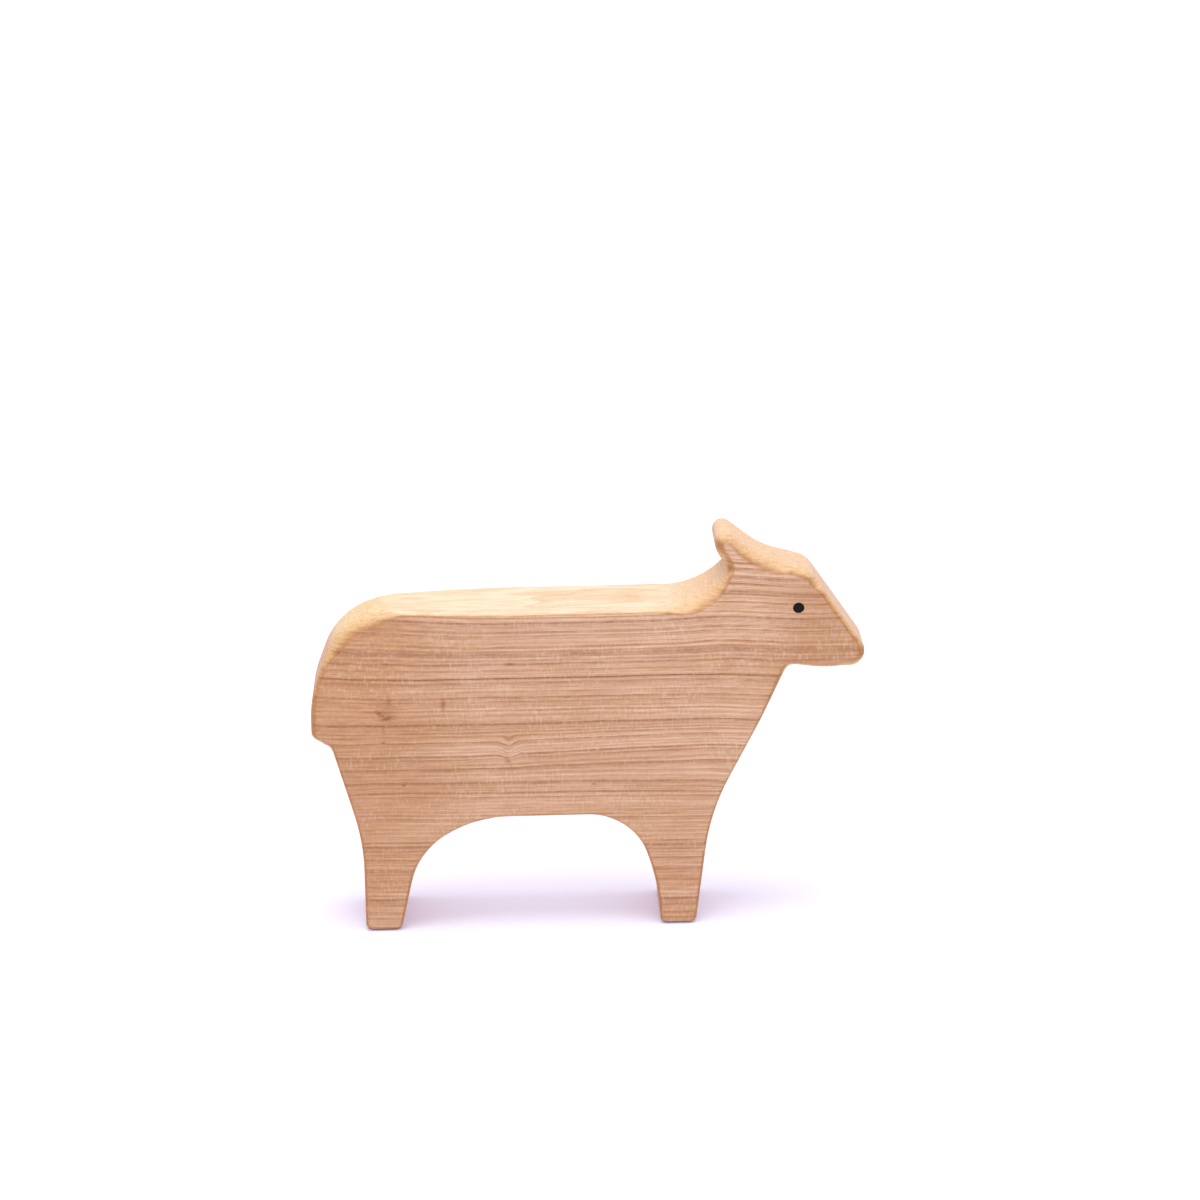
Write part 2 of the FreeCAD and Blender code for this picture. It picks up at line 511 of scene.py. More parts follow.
@dataclass(frozen=True)
class Marks:
    """Pin knots, flecks and smudges at their own places, with ragged edges."""

    ragged_grain: Grain = Grain(0.9, 2.0, 0.4, 3.0, 0.7)
    raggedness: float = 2.4
    edge_start: float = 0.1
    edge_end: float = 1.2
    marks: tuple[Mark, ...] = (
        Mark((-44.8, -9.5, 50.3), (2.1, 4.0, 0.75), 0.85, -44.0),
        Mark((-43.5, -9.5, 49.4), (1.9, 4.0, 0.85), 0.90, 14.0),
        Mark((-43.0, -9.5, 52.9), (0.7, 4.0, 1.50), 0.50),
        Mark((-43.6, -9.5, 50.8), (3.0, 4.0, 2.80), 0.36),
        Mark((-44.5, -9.6, 43.9), (0.55, 3.0, 0.45), 0.95),
        Mark((-44.3, -9.6, 46.6), (0.40, 3.0, 1.80), 0.30),
        Mark((-31.3, -10.0, 52.4), (0.60, 3.0, 1.90), 0.70),
        Mark((-40.3, -10.0, 34.0), (0.60, 3.0, 0.40), 0.85),
        Mark((-16.8, -10.0, 61.1), (1.30, 3.0, 0.50), 0.60),
        Mark((0.8, -10.0, 33.3), (0.50, 3.0, 0.35), 0.70),
        Mark((-17.7, -10.0, 39.2), (0.80, 5.0, 2.10), 0.42, 14.0),
        Mark((22.0, 10.0, 55.0), (1.6, 4.0, 1.0), 0.55),
        Mark((-30.0, 10.0, 38.0), (0.7, 3.0, 0.5), 0.75),
    )

    def share(self, mix: BoardMix) -> Feed:
        """How much of the mark colour shows.

        Args:
            mix: The finish being mixed.

        Returns:
            The share.
        """
        ragged = mix.product(mix.swing(self.ragged_grain), self.raggedness)
        strongest: Feed = 0.0
        for mark in self.marks:
            off = mix.turned(mix.moved(Sum.TAKE, mix.here, mark.middle), mark.lean)
            away = mix.total(mix.away(mix.moved(Sum.OVER, off, mark.half_sizes)), ragged)
            edge = Span(self.edge_start, self.edge_end, mark.darkness, 0.0, True)
            strongest = mix.sum(Sum.HIGHEST, strongest, mix.ranged(away, edge))
        return strongest


@dataclass(frozen=True)
class Tone:
    """How dull the flank is from place to place: clouds and bands of real tone, painted shade on the rump
    and head, darker low on the fore leg, lighter just under the back.
    """

    clouds: Grain = Grain(34.0, 30.0, 11.0, 3.0, 0.55)
    bands: Grain = Grain(1.0, 1.0, 5.5, 1.0)
    rump: Span = Span(-58.0, -20.0, 0.60, 0.0, True)
    rump_height: Span = Span(12.0, 36.0, 0.65, 1.0)
    head: Span = Span(34.0, 50.0, 0.0, 0.34, True)
    fore_leg: Span = Span(4.0, 12.0)
    fore_leg_height: Span = Span(28.0, 14.0, 0.0, 0.16)
    under_back: Span = Span(54.0, 68.0, 0.0, 0.14, True)
    dull: Span = Span(0.72, 1.42, eased=True)

    def share(self, mix: BoardMix) -> Feed:
        """How much of the dull colour shows, as real tone and as painted shade.

        Args:
            mix: The finish being mixed.

        Returns:
            The share.
        """
        # Painted shade on the rump and head, darker low on the fore leg, and lighter just under the back.
        rump, head, leg = (mix.ranged(mix.along, span) for span in (self.rump, self.head, self.fore_leg))
        rump = mix.product(rump, mix.ranged(mix.up, self.rump_height))
        leg = mix.product(leg, mix.ranged(mix.up, self.fore_leg_height))
        ends_shaded_back_lighter = mix.sum(Sum.TAKE, mix.total(rump, head, leg), mix.ranged(mix.up, self.under_back))
        grown = mix.total(mix.grain(mix.here, self.clouds), mix.layers(self.bands))
        return mix.ranged(mix.total(grown, ends_shaded_back_lighter), self.dull)


@dataclass(frozen=True)
class OiledWood:
    """Pale pinkish hardwood, quarter sawn on the flanks, sanded and oiled."""

    flank: Colour = (0.935, 0.622, 0.452)
    # Dull flank colour, used for real tone and for painted shade on the ends.
    flank_dull_and_shaded: Colour = (0.705, 0.388, 0.225)
    ring: Colour = (0.520, 0.225, 0.095)
    line: Colour = (0.330, 0.110, 0.038)
    mark: Colour = (0.330, 0.100, 0.035)
    pink: Colour = (0.880, 0.560, 0.465)
    tan: Colour = (0.800, 0.520, 0.290)
    ray: Colour = (0.960, 0.720, 0.600)
    # Paler top: partly the wood's flatter grain there, partly painted light from above.
    top_grain_and_light: Colour = (0.940, 0.810, 0.590)
    neck_top: Colour = (0.930, 0.640, 0.410)
    rump_top: Colour = (0.930, 0.710, 0.400)
    top_ring: Colour = (0.860, 0.500, 0.270)
    rim: Colour = (0.900, 0.560, 0.240)
    # Rims facing down get this darker copy as painted shade.
    shaded_low_rim: Colour = (0.530, 0.225, 0.055)
    # Painted light bounced from the floor onto the rims under the belly.
    floor_lit_belly_rim: Colour = (0.950, 0.640, 0.410)
    crease: Colour = (0.560, 0.250, 0.080)
    # Painted contact shade on the feet's downward edge.
    foot_contact_shade: Colour = (0.150, 0.060, 0.025)
    # End grain darker, partly where oil soaks in and partly as painted shade on ends turned from the light.
    end_grain_and_shade: Colour = (0.580, 0.245, 0.070)
    growth: Growth = Growth()
    rings: Rings = Rings()
    lines: DarkLines = DarkLines()
    marks: Marks = Marks()
    tone: Tone = Tone()
    facing: Span = Span(0.20, 0.75, 0.35, 1.0, True)
    upward: Span = Span(0.28, 0.80, eased=True)
    break_grain: Grain = Grain(8.0, 6.0, 1.3, 2.0, 0.6)
    breaks: Span = Span(0.32, 0.62, 0.40, 1.15)
    swirl_grain: Grain = Grain(30.0, 7.5, 50.0, 1.0)
    swirl: float = 5.0
    flame_fade: Span = Span(12.0, 22.0, 1.0, 0.45, True)
    warmth: Grain = Grain(4.5, 3.0, 0.8, 3.0, 0.6)
    pink_share: Span = Span(0.52, 0.72, 0.0, 0.45)
    tan_share: Span = Span(0.48, 0.28, 0.0, 0.45)
    neck: Span = Span(12.0, 26.0, eased=True)
    rump: Span = Span(-36.0, -50.0, eased=True)
    end_tilt: Span = Span(0.1, 0.6, 1.0, 0.15)
    end_share: float = 0.75
    rim_width: Span = Span(0.035, 0.22, eased=True)
    rim_tilt: Span = Span(0.14, 0.55, eased=True)
    floor_lit_belly_tilt: Span = Span(-0.10, -0.45, eased=True)
    rim_share: Span = Span(0.0, 0.45, 0.92, 0.50, True)
    crease_start: Span = Span(0.50, 0.78, eased=True)
    crease_end: Span = Span(0.84, 0.95, 1.0, 0.0)
    patch_grain: Grain = Grain(4.0, 4.0, 4.0)
    patches: Span = Span(0.35, 0.65, 0.35, 0.80)
    contact_shade_tilt: Span = Span(-0.15, -0.60, eased=True)
    contact_shade_height: Span = Span(1.5, 0.75)
    ring_share: float = 0.95
    rings_on_top: Span = Span(0.0, 1.0, 1.0, 0.66)
    layer_grain: Grain = Grain(1.0, 1.0, 0.42, 2.0, 0.6)
    layers: Span = Span(0.46, 0.64)
    layer_share: float = 0.62
    lines_on_top: Span = Span(0.0, 1.0, 1.0, 0.4)
    fibre_grain: Grain = Grain(7.0, 0.45, 0.30, 3.0, 0.6)
    streaks: Span = Span(0.28, 0.72, 0.79, 1.09)
    green_power: float = 1.3
    blue_power: float = 1.6
    ray_grain: Grain = Grain(0.48, 0.25, 1.5, 1.0)
    cluster_grain: Grain = Grain(15.0, 12.0, 9.0, 1.0)
    clusters: Span = Span(0.42, 0.60, 0.35, 1.0)
    pale_rays: Span = Span(0.54, 0.70, eased=True)
    pale_share: float = 0.24
    dark_rays: Span = Span(0.42, 0.28, eased=True)
    dark_share: float = 0.30
    pore_grain: Grain = Grain(1.6, 0.13, 0.13, 2.0, 0.6)
    pores: Span = Span(0.60, 0.72)
    pore_share: float = 0.30
    dullness: Span = Span(0.30, 0.70, 0.42, 0.56)
    fibre_height: float = 0.45
    ring_height: float = 0.25
    pore_depth: float = 0.35
    relief: float = 0.05

    def _ground(self, mix: BoardMix) -> Feed:
        """Mix the wood's colour: the flank with real dullness and painted shade, the top paler partly as
        painted light, and end grain darker partly as painted shade.

        Args:
            mix: The finish being mixed.

        Returns:
            The colour.
        """
        warmth = mix.grain(mix.here, self.warmth)
        colour = mix.laid(self.tone.share(mix), self.flank, self.flank_dull_and_shaded)
        colour = mix.laid(mix.ranged(warmth, self.pink_share), colour, self.pink)
        colour = mix.laid(mix.ranged(warmth, self.tan_share), colour, self.tan)
        # The top is paler, partly as real grain colour and partly as painted light.
        top_grain_and_light = mix.laid(mix.ranged(mix.along, self.neck), self.top_grain_and_light, self.neck_top)
        top_grain_and_light = mix.laid(mix.ranged(mix.along, self.rump), top_grain_and_light, self.rump_top)
        colour = mix.laid(mix.upward, colour, top_grain_and_light)
        # Darker end grain, partly real oil soak and partly painted shade, fading on faces turned up.
        tilt = mix.ranged(mix.skyward, self.end_tilt)
        end_on = mix.product(mix.forward, mix.forward, tilt, self.end_share)
        return mix.laid(end_on, colour, self.end_grain_and_shade)

    def _rims(self, mix: BoardMix, colour: Feed) -> Feed:
        """Lay on the rims, darker as painted shade where they face down and paler as painted floor bounce
        under the belly, the patchy crease beside them, and painted contact shade on the edge under the feet.

        Args:
            mix: The finish being mixed.
            colour: The colour so far.

        Returns:
            The colour.
        """
        across_rim = mix.product(mix.sideways, mix.sum(Sum.TAKE, 1.0, mix.sideways))
        # Rim tint is oil soaked into the rounded edges; rims facing down turn darker as painted shade, and
        # those under the belly paler as painted floor bounce.
        rim = mix.laid(mix.ranged(mix.skyward, self.rim_tilt), self.shaded_low_rim, self.rim)
        rim = mix.laid(mix.ranged(mix.skyward, self.floor_lit_belly_tilt), rim, self.floor_lit_belly_rim)
        share = mix.product(mix.ranged(across_rim, self.rim_width), mix.ranged(mix.skyward, self.rim_share))
        colour = mix.laid(share, colour, rim)
        start, end = (mix.ranged(mix.sideways, span) for span in (self.crease_start, self.crease_end))
        patches = mix.blotches(self.patch_grain, self.patches)
        colour = mix.laid(mix.product(start, end, patches), colour, self.crease)
        # Painted contact shade on the downward edge just above the floor.
        under = mix.product(mix.ranged(mix.skyward, self.contact_shade_tilt), mix.ranged(mix.up, self.contact_shade_height))
        return mix.laid(under, colour, self.foot_contact_shade)

    def _ring_share(self, mix: BoardMix) -> Feed:
        """How much of the ring colour shows: broken rings on the flanks, flames on the top.

        Args:
            mix: The finish being mixed.

        Returns:
            The share.
        """
        rings = mix.product(self.rings.share(mix, mix.depth), mix.sum(Sum.TAKE, 1.0, mix.upward))
        broken = mix.blotches(self.break_grain, self.breaks)
        swirls = mix.product(mix.grain(mix.here, self.swirl_grain), self.swirl)
        flames = self.rings.share(mix, mix.total(mix.depth, swirls))
        flames = mix.product(flames, mix.upward, mix.ranged(mix.along, self.flame_fade))
        return mix.total(mix.product(rings, mix.product(broken, mix.facing)), flames)

    def _grown(self, mix: BoardMix, rings: Feed, colour: Feed) -> Feed:
        """Lay on the growth rings, the faint layers between them and the dark lines.

        Args:
            mix: The finish being mixed.
            rings: How much of the ring colour shows.
            colour: The colour so far.

        Returns:
            The colour.
        """
        ring = mix.laid(mix.upward, self.ring, self.top_ring)
        bold = mix.ranged(mix.upward, self.rings_on_top)
        colour = mix.laid(mix.product(rings, self.ring_share, bold), colour, ring)
        faint = mix.ranged(mix.layers(self.layer_grain), self.layers)
        colour = mix.laid(mix.product(faint, self.layer_share, bold), colour, ring)
        lines = mix.product(self.lines.share(mix), mix.facing)
        lines = mix.product(lines, mix.ranged(mix.upward, self.lines_on_top))
        return mix.laid(lines, colour, self.line)

    def _flecks(self, mix: BoardMix, fibres: Feed, pores: Feed, colour: Feed) -> Feed:
        """Lay on the fibres' streaks, the ray flecks, the pores and the marks.

        Args:
            mix: The finish being mixed.
            fibres: Noise that is drawn out along the fibres.
            pores: How far a place counts as a pore.
            colour: The colour so far.

        Returns:
            The colour.
        """
        streak = mix.ranged(fibres, self.streaks)
        green = mix.sum(Sum.POWER, streak, self.green_power)
        blue = mix.sum(Sum.POWER, streak, self.blue_power)
        colour = mix.laid(1.0, colour, mix.vector(streak, green, blue), Blend.DARKEN)
        rays = mix.grain(mix.here, self.ray_grain)
        clusters = mix.blotches(self.cluster_grain, self.clusters)
        pale = mix.product(mix.ranged(rays, self.pale_rays), clusters, self.pale_share)
        dark = mix.product(mix.ranged(rays, self.dark_rays), clusters, self.dark_share)
        colour = mix.laid(pale, colour, self.ray)
        colour = mix.laid(dark, colour, self.ring)
        colour = mix.laid(mix.product(pores, self.pore_share), colour, self.line)
        return mix.laid(self.marks.share(mix), colour, self.mark)

    def material(self) -> bpy.types.Material:
        """Mix the finish.

        Returns:
            The material.
        """
        mix = BoardMix("oiled_wood", self.growth, self.facing, self.upward)
        rings = self._ring_share(mix)
        fibres = mix.grain(mix.here, self.fibre_grain)
        pores = mix.blotches(self.pore_grain, self.pores)
        colour = self._rims(mix, self._ground(mix))
        colour = self._grown(mix, rings, colour)
        colour = self._flecks(mix, fibres, pores, colour)
        raised = mix.total(mix.product(fibres, self.fibre_height), mix.product(rings, self.ring_height))
        height = mix.sum(Sum.TAKE, raised, mix.product(pores, self.pore_depth))
        mix.finish(colour, mix.ranged(fibres, self.dullness), height, self.relief)
        return mix.owner


@dataclass(frozen=True)
class StainedWood:
    """Dowel end grain stained nearly black, with faint plum patches of painted sheen."""

    stain: Colour = (0.004, 0.003, 0.004)
    # Painted sheen: faint plum patches a little lighter than the stain.
    worn: Colour = (0.014, 0.009, 0.012)
    speckle_grain: Grain = Grain(0.12, 0.9, 0.12, 3.0, 0.6)
    speckle: Span = Span(0.55, 0.75)
    sheen_grain: Grain = Grain(0.7, 0.7, 0.7)
    sheen_patches: Span = Span(0.40, 0.70)
    dullness: Span = Span(0.30, 0.70, 0.34, 0.55)
    relief: float = 0.03
    ior: float = 1.22

    def material(self) -> bpy.types.Material:
        """Mix the finish.

        Returns:
            The material.
        """
        mix = Mix(bpy.data.materials.new("stained_wood"))
        place = mix.place()
        speckle = mix.grain(place, self.speckle_grain)
        # Painted sheen in faint plum patches on the stain.
        worn = mix.ranged(mix.grain(place, self.sheen_grain), self.sheen_patches)
        colour = mix.laid(worn, self.stain, self.worn)
        colour = mix.laid(mix.ranged(speckle, self.speckle), colour, self.stain)
        mix.finish(colour, mix.ranged(speckle, self.dullness), speckle, self.relief, self.ior)
        return mix.owner


@dataclass(frozen=True)
class StudioPaper:
    """Seamless pale paper that the figurine stands on, seen as white with a faint plum shadow."""

    bounce: Colour = (0.86, 0.85, 0.86)
    seen: Colour = (0.84, 0.865, 0.955)
    glow: Colour = (0.23, 0.20, 0.32)

    def material(self) -> bpy.types.Material:
        """Mix the finish: plain paper to the light, lifted to white where it is looked at.

        Returns:
            The material.
        """
        mix = Mix(bpy.data.materials.new("studio_paper"))
        lifted = mix.node("AddShader")
        mix.feed(lifted.inputs[0], mix.plain("BsdfDiffuse", self.seen))
        mix.feed(lifted.inputs[1], mix.plain("Emission", self.glow))
        either = mix.node("MixShader")
        shown = (mix.looked_at(), mix.plain("BsdfDiffuse", self.bounce), lifted.outputs[0])
        for socket, fed in zip(either.inputs, shown):
            mix.feed(socket, fed)
        mix.feed(mix.node("OutputMaterial").inputs["Surface"], either.outputs[0])
        return mix.owner


def place_in_scene(name: str, shape: bmesh.types.BMesh) -> bpy.types.Object:
    """Put a shape in the scene as a piece of its own.

    Args:
        name: The piece's name.
        shape: Its shape in the part's frame, which is used up.

    Returns:
        The piece.
    """
    mesh = bpy.data.meshes.new(name)
    shape.to_mesh(mesh)
    shape.free()
    piece = bpy.data.objects.new(name, mesh)
    bpy.context.scene.collection.objects.link(piece)
    return piece


def settle(piece: bpy.types.Object) -> None:
    """Turn a piece's modifiers into its own mesh.

    Args:
        piece: The piece.
    """
    ready = piece.evaluated_get(bpy.context.evaluated_depsgraph_get())
    mesh = bpy.data.meshes.new_from_object(ready)
    piece.modifiers.clear()
    piece.data = mesh


def move_corners(piece: bpy.types.Object, places: list[Vector]) -> None:
    """Give a piece's corners new places, in the same order."""
    piece.data.vertices.foreach_set("co", [number for place in places for number in place])
    piece.data.update()


def middle_of(low: Vector, high: Vector) -> Vector:
    """Where a dowel's axis crosses the middle of the board, from the corners of its box."""
    return Vector(((low.x + high.x) / 2, 0.0, (low.z + high.z) / 2))


def eased(share: float) -> float:
    """Ease a share between 0 and 1 in and out."""
    return share * share * (3.0 - 2.0 * share)


@dataclass
class Eye:
    """A short stained dowel, a little domed, standing in its socket on one side."""

    side: Side
    dome: float = 0.16
    edge: float = 0.22
    foot_share: float = 0.96
    foot_bevel: float = 0.15
    curve_steps: int = 7
    segments: int = 56
    weld: float = 0.001
    plain_length: float = 2.0
    unevenness: float = 0.02
    dimples_per_metre: float = 1600.0
    node: str = field(init=False)

    def __post_init__(self) -> None:
        """Name the solid that it stands for."""
        self.node = self.side.name.lower() + "_eye"

    def _profile(self, radius: float, foot: float, face: float) -> list[tuple[float, float]]:
        """Draw half of the dowel's outline, from its bevelled foot over its edge to its domed middle.

        Args:
            radius: The dowel's radius in millimetres.
            foot: Where its foot is across the board.
            face: Where its outer face is across the board.

        Returns:
            Distances from the axis and places across the board.
        """
        out = self.side.value
        inner = radius - self.edge
        profile = [(0.0, foot), (radius * self.foot_share, foot), (radius, foot + out * self.foot_bevel)]
        for step in range(self.curve_steps + 1):
            turn = math.radians(90.0 * step / self.curve_steps)
            fall = self.edge * (1 - math.sin(turn))
            profile.append((radius - self.edge * (1 - math.cos(turn)), face - out * fall))
        for step in range(1, self.curve_steps + 1):
            share = step / self.curve_steps
            rise = self.dome * math.sin(math.radians(90.0) * share)
            profile.append((inner * (1 - share), face + out * rise))
        return profile

    def build(self) -> bpy.types.Object:
        """Turn the dowel to fill its solid's box.

        Returns:
            The piece.
        """
        low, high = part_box(self.node)
        radius = (high.x - low.x) / 2 / MM
        foot = (low.y if self.side is Side.LEFT else high.y) / MM
        face = (high.y if self.side is Side.LEFT else low.y) / MM
        shape = bmesh.new()
        corners = [shape.verts.new((distance * MM, level * MM, 0.0))
                   for distance, level in self._profile(radius, foot, face)]
        for first, second in zip(corners, corners[1:]):
            shape.edges.new((first, second))
        bmesh.ops.spin(shape, geom=shape.verts[:] + shape.edges[:], cent=(0.0, 0.0, 0.0),
                       axis=(0.0, 1.0, 0.0), angle=math.tau, steps=self.segments, use_merge=True)
        bmesh.ops.remove_doubles(shape, verts=shape.verts[:], dist=self.weld * MM)
        bmesh.ops.recalc_face_normals(shape, faces=shape.faces[:])
        centre = middle_of(low, high)
        for corner in shape.verts:
            corner.co += centre
            if self.side.value * (corner.co.y - foot * MM) > self.plain_length * MM:
                dimple = 1 + noise.noise(corner.co * self.dimples_per_metre)
                corner.co.y -= self.side.value * self.unevenness * MM * dimple
        piece = place_in_scene(self.node + "_peg", shape)
        piece.data.shade_smooth()
        return piece

    def dress(self, piece: bpy.types.Object, finish: StainedWood) -> bpy.types.Object:
        """Stain the dowel and let it ride.

        Args:
            piece: The dowel.
            finish: Its finish.

        Returns:
            The same piece.
        """
        piece.data.materials.clear()
        piece.data.materials.append(finish.material())
        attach(piece, "root")
        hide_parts(self.node)
        return piece


@dataclass(frozen=True)
class RoundedPlace:
    """A place where the rims are rounded over freely: its middle, its reach and both radii."""

    along: float
    height: float
    reach: float
    right_radius: float
    left_radius: float


@dataclass
class Body:
    """The whole animal, one board: sawn, thinned and rounded as its solid is, then sanded by hand."""

    weld: float = 0.002
    fill_margin: float = 0.02
    mesh_size: float = 0.45
    sharp_angle: float = 50.0
    sanding: float = 0.07
    sanding_length: float = 14.0
    dents: float = 0.05
    dent_length: float = 2.6
    dent_offset: tuple[float, float, float] = (7.0, 3.0, 1.0)
    dent_threshold: float = 0.45
    flank_dents: float = 0.5
    edge_dents: float = 2.0
    socket_clearance: float = 0.03
    socket_segments: int = 64
    drill_length: float = 8.0
    outline_width: float = 2.0
    straight_in: float = 0.25
    rounding_fade: float = 1.7
    rubbing_share: float = 0.5
    rubbing_passes: int = 4
    rounded_places: tuple[RoundedPlace, ...] = (
        RoundedPlace(-53.0, 72.0, 15.5, 4.3, 2.4),
        RoundedPlace(23.5, 77.0, 10.0, 3.8, 1.8),
        RoundedPlace(30.0, 86.0, 10.0, 3.0, 1.8),
        RoundedPlace(38.0, 84.0, 11.0, 3.6, 2.0),
        RoundedPlace(47.5, 79.0, 7.0, 2.6, 1.6),
        RoundedPlace(57.0, 60.0, 7.0, 2.2, 1.6),
    )

    def _blank(self, solid: bpy.types.Object, eyes: list[Eye]) -> bmesh.types.BMesh:
        """Copy the solid's surface with its two eye sockets filled in.

        Args:
            solid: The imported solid.
            eyes: The eyes whose sockets are filled.

        Returns:
            The closed surface.
        """
        blank = bmesh.new()
        blank.from_mesh(solid.data)
        bmesh.ops.remove_doubles(blank, verts=blank.verts[:], dist=self.weld * MM)
        low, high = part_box(eyes[0].node)
        centre = middle_of(low, high)
        reach = (high.x - low.x) / 2 + (self.socket_clearance + self.fill_margin) * MM
        inside = [face for face in blank.faces
                  if all(math.hypot(corner.co.x - centre.x, corner.co.z - centre.z) < reach
                         for corner in face.verts)]
        bmesh.ops.delete(blank, geom=inside, context="FACES")
        bmesh.ops.holes_fill(blank, edges=[edge for edge in blank.edges if edge.is_boundary], sides=0)
        bmesh.ops.triangulate(blank, faces=blank.faces[:])
        bmesh.ops.recalc_face_normals(blank, faces=blank.faces[:])
        return blank

    def _outline(self, blank: bmesh.types.BMesh) -> BVHTree:
        """Trace the sawn outline at half the board's thickness.

        Args:
            blank: The closed surface.

        Returns:
            The outline as a narrow ribbon to measure from.
        """
        cut = blank.copy()
        parts = bmesh.ops.bisect_plane(cut, geom=cut.verts[:] + cut.edges[:] + cut.faces[:],
                                       plane_co=(0.0, 0.0, 0.0), plane_no=(0.0, 1.0, 0.0))["geom_cut"]
        across = Vector((0.0, self.outline_width * MM / 2, 0.0))
        corners: list[Vector] = []
        sides: list[tuple[int, ...]] = []
        for edge in parts:
            if isinstance(edge, bmesh.types.BMEdge):
                start, end = (Vector((corner.co.x, 0.0, corner.co.z)) for corner in edge.verts)
                sides.append(tuple(range(len(corners), len(corners) + 4)))
                corners += [start - across, end - across, end + across, start + across]
        cut.free()
        return BVHTree.FromPolygons(corners, sides)

    def _radius_at(self, here: Vector) -> float:
        """How far the rim is rounded at a place.

        Args:
            here: The place.

        Returns:
            The radius in metres, or nothing where the solid's own rounding stands.
        """
        radius = 0.0
        for place in self.rounded_places:
            away = math.hypot(here.x / MM - place.along, here.z / MM - place.height) / place.reach
            near = min(1.0, max(0.0, self.rounding_fade - self.rounding_fade * away))
            full = place.left_radius if here.y > 0.0 else place.right_radius
            radius = max(radius, full * eased(near))
        return radius * MM

    def _rounded(self, here: Vector, normal: Vector, outline: BVHTree, surface: BVHTree) -> Vector:
        """Where a place on the surface lies once its rim is rounded over.

        Args:
            here: The place.
            normal: The surface's direction there.
            outline: The sawn outline.
            surface: The exact surface.

        Returns:
            The same place, or a place a little further in.
        """
        radius = self._radius_at(here)
        flat = Vector((here.x, 0.0, here.z))
        rim, _, _, away = outline.find_nearest(flat)
        if away >= radius:
            return here
        inward = flat - rim if away > self.straight_in * MM else Vector((-normal.x, 0.0, -normal.z))
        inward.normalize()
        side = math.copysign(1.0, here.y)
        middle = rim + inward * radius
        flank = surface.ray_cast(middle + Vector((0.0, side, 0.0)), Vector((0.0, -side, 0.0)))[0]
        if flank is None:
            return here
        core = abs(flank.y) - radius
        off = Vector((away - radius, abs(here.y) - core))
        if off.y <= 0.0 or off.length <= radius:
            return here
        off *= radius / off.length
        spot = rim + inward * (radius + off.x)
        return Vector((spot.x, side * (core + off.y), spot.z))

    def _round_over(self, piece: bpy.types.Object, outline: BVHTree, surface: BVHTree) -> None:
        """Round the rims over further where the maker's hand did, then rub these places smooth.

        Args:
            piece: The body.
            outline: The sawn outline.
            surface: The exact surface.
        """
        places: list[Vector] = []
        group = piece.vertex_groups.new(name="rounded")
        for corner in piece.data.vertices:
            rounded = self._rounded(corner.co, corner.normal, outline, surface)
            if rounded != corner.co:
                group.add([corner.index], 1.0, "REPLACE")
            places.append(rounded)
        move_corners(piece, places)
        rubbing = piece.modifiers.new("rubbing", "SMOOTH")
        rubbing.factor = self.rubbing_share
        rubbing.iterations = self.rubbing_passes
        rubbing.vertex_group = group.name
        settle(piece)
        piece.vertex_groups.clear()

    def _sand(self, piece: bpy.types.Object) -> None:
        """Sand the surface slightly uneven and knock it a little, as in use.

        Args:
            piece: The body.
        """
        places: list[Vector] = []
        for corner in piece.data.vertices:
            here = corner.co / MM
            slow = 0.5 + 0.5 * noise.noise(here / self.sanding_length)
            knocks = noise.noise(here / self.dent_length + Vector(self.dent_offset)) - self.dent_threshold
            edge = 4.0 * corner.normal.y ** 2 * (1.0 - corner.normal.y ** 2)
            worn = self.dents * max(0.0, knocks) * (self.flank_dents + self.edge_dents * edge)
            depth = self.sanding * slow + worn
            places.append(corner.co - corner.normal * MM * depth)
        move_corners(piece, places)

    def _drill(self, piece: bpy.types.Object, eye: Eye) -> None:
        """Cut one eye's socket.

        Args:
            piece: The body.
            eye: The eye that stands in it.
        """
        low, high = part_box(eye.node)
        radius = (high.x - low.x) / 2 + self.socket_clearance * MM
        foot = low.y if eye.side is Side.LEFT else high.y
        mouth = foot + eye.side.value * self.drill_length * MM
        drill = bmesh.new()
        turn = Matrix.Rotation(math.radians(90.0), 4, "X")
        shift = Matrix.Translation(middle_of(low, high) + Vector((0.0, (foot + mouth) / 2, 0.0)))
        bmesh.ops.create_cone(drill, cap_ends=True, segments=self.socket_segments, radius1=radius,
                              radius2=radius, depth=abs(mouth - foot), matrix=shift @ turn)
        bit = place_in_scene("drill", drill)
        cut = piece.modifiers.new("socket", "BOOLEAN")
        cut.operation = "DIFFERENCE"
        cut.solver = "EXACT"
        cut.object = bit
        settle(piece)
        bpy.data.objects.remove(bit)

    def build(self, eyes: list[Eye]) -> bpy.types.Object:
        """Shape the body from its solid.

        Args:
            eyes: The eyes that are set into it.

        Returns:
            The piece.
        """
        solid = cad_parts[BODY_NODE]
        blank = self._blank(solid, eyes)
        surface = BVHTree.FromBMesh(blank)
        outline = self._outline(blank)
        piece = place_in_scene("sawn_body", blank)
        even = piece.modifiers.new("even", "REMESH")
        even.mode = "VOXEL"
        even.voxel_size = self.mesh_size * MM
        even.use_smooth_shade = True
        settle(piece)
        laid = [surface.find_nearest(corner.co)[0] for corner in piece.data.vertices]
        move_corners(piece, laid)
        self._round_over(piece, outline, surface)
        self._sand(piece)
        for eye in eyes:
            self._drill(piece, eye)
        piece.data.shade_smooth()
        piece.data.set_sharp_from_angle(angle=math.radians(self.sharp_angle))
        return piece

    def dress(self, piece: bpy.types.Object, finish: OiledWood) -> bpy.types.Object:
        """Oil the body and let it ride.

        Args:
            piece: The body.
            finish: Its finish.

        Returns:
            The same piece.
        """
        piece.data.materials.clear()
        piece.data.materials.append(finish.material())
        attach(piece, "root")
        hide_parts(BODY_NODE)
        return piece


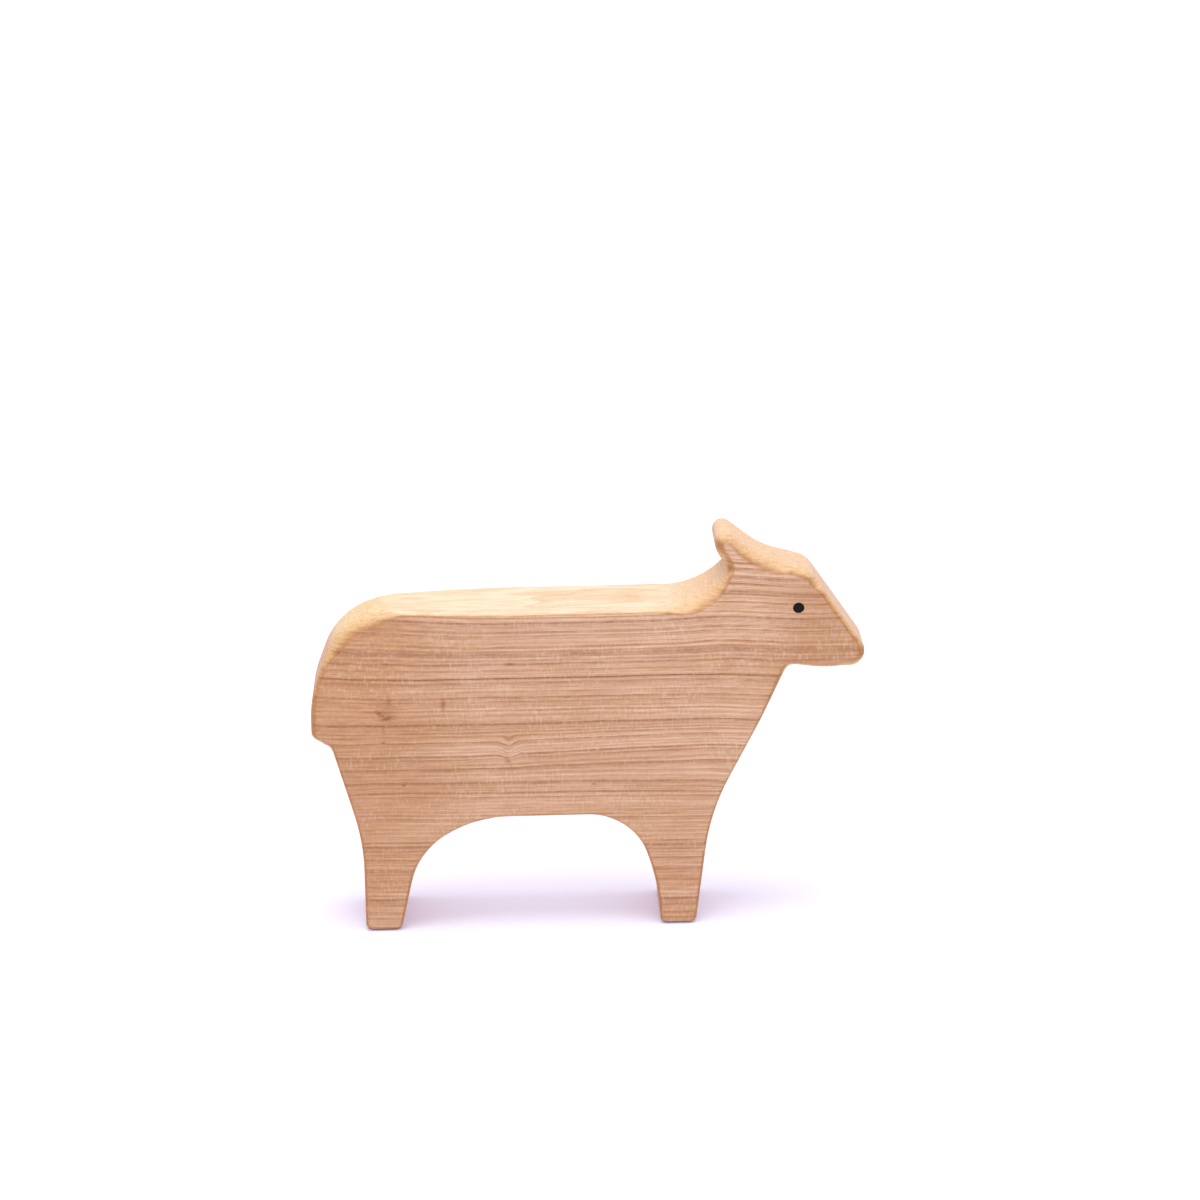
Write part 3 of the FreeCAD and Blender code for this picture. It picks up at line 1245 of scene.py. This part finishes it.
@dataclass
class Studio:
    """Floor, light and camera."""

    floor_reach: float = 6.0
    floor_squares: int = 8
    sky: float = 0.80
    sky_colour: Colour = (1.0, 1.0, 1.0)
    lamp: float = 1.25
    lamp_spread: float = 30.0
    lamp_tilt_forward: float = 7.0
    lamp_tilt_left: float = 2.0
    camera_place: tuple[float, float, float] = (-16.877, -760.584, 319.142)
    camera_pitch: float = 18.0
    camera_yaw: float = 1.5
    camera_roll: float = 0.875
    film_width: float = 36.0
    lens: float = 110.997
    nearest: float = 0.05
    furthest: float = 50.0

    def lay_floor(self, finish: StudioPaper) -> None:
        """Lay the paper under the figurine.

        Args:
            finish: The paper's finish.
        """
        sheet = bmesh.new()
        squares = self.floor_squares
        bmesh.ops.create_grid(sheet, x_segments=squares, y_segments=squares, size=self.floor_reach)
        floor = place_in_scene("studio_floor", sheet)
        floor.data.materials.append(finish.material())

    def light(self) -> None:
        """Light the room softly from all round, and more from above."""
        world = bpy.data.worlds.new("studio_sky")
        bpy.context.scene.world = world
        mix = Mix(world)
        background = mix.node("Background")
        mix.feed(background.inputs["Color"], self.sky_colour)
        strength = mix.ranged(mix.looked_at(), Span(0.0, 1.0, self.sky, 1.0))
        mix.feed(background.inputs["Strength"], strength)
        mix.feed(mix.node("OutputWorld").inputs["Surface"], background.outputs[0])

        lamp = bpy.data.lights.new("overhead_lamp", "SUN")
        lamp.energy = self.lamp
        lamp.angle = math.radians(self.lamp_spread)
        held = bpy.data.objects.new("overhead_lamp", lamp)
        held.rotation_euler = (math.radians(self.lamp_tilt_forward), -math.radians(self.lamp_tilt_left), 0.0)
        bpy.context.scene.collection.objects.link(held)

    def set_camera(self) -> None:
        """Stand the camera where the photograph was taken from."""
        camera = bpy.data.cameras.new("camera")
        camera.sensor_width = self.film_width
        camera.lens = self.lens
        camera.clip_start = self.nearest
        camera.clip_end = self.furthest
        held = bpy.data.objects.new("camera", camera)
        aim = (Matrix.Rotation(math.radians(-self.camera_yaw), 4, "Z")
               @ Matrix.Rotation(math.radians(90.0 - self.camera_pitch), 4, "X")
               @ Matrix.Rotation(math.radians(-self.camera_roll), 4, "Z"))
        held.matrix_world = Matrix.Translation(Vector(self.camera_place) * MM) @ aim
        bpy.context.scene.collection.objects.link(held)
        bpy.context.scene.camera = held

    def set_up(self) -> None:
        """Make the whole studio and keep colours as they are written."""
        self.lay_floor(StudioPaper())
        self.light()
        self.set_camera()
        bpy.context.scene.view_settings.view_transform = "Standard"


def write_sizes() -> None:
    """Write nothing: no sizes are written here.
    """
    log.info("sizes written")


def main() -> None:
    """Build the figurine's pieces in order and report each."""
    logging.basicConfig(level=logging.INFO, format="%(name)s: %(message)s")
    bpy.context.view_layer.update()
    Studio().set_up()
    eyes = [Eye(Side.LEFT), Eye(Side.RIGHT)]
    body = Body()
    shaped = body.dress(body.build(eyes), OiledWood())
    log.info("%s: %d faces", shaped.name, len(shaped.data.polygons))
    for eye in eyes:
        peg = eye.dress(eye.build(), StainedWood())
        log.info("%s: %d faces", peg.name, len(peg.data.polygons))
    write_sizes()


if __name__ == "__main__":
    main()
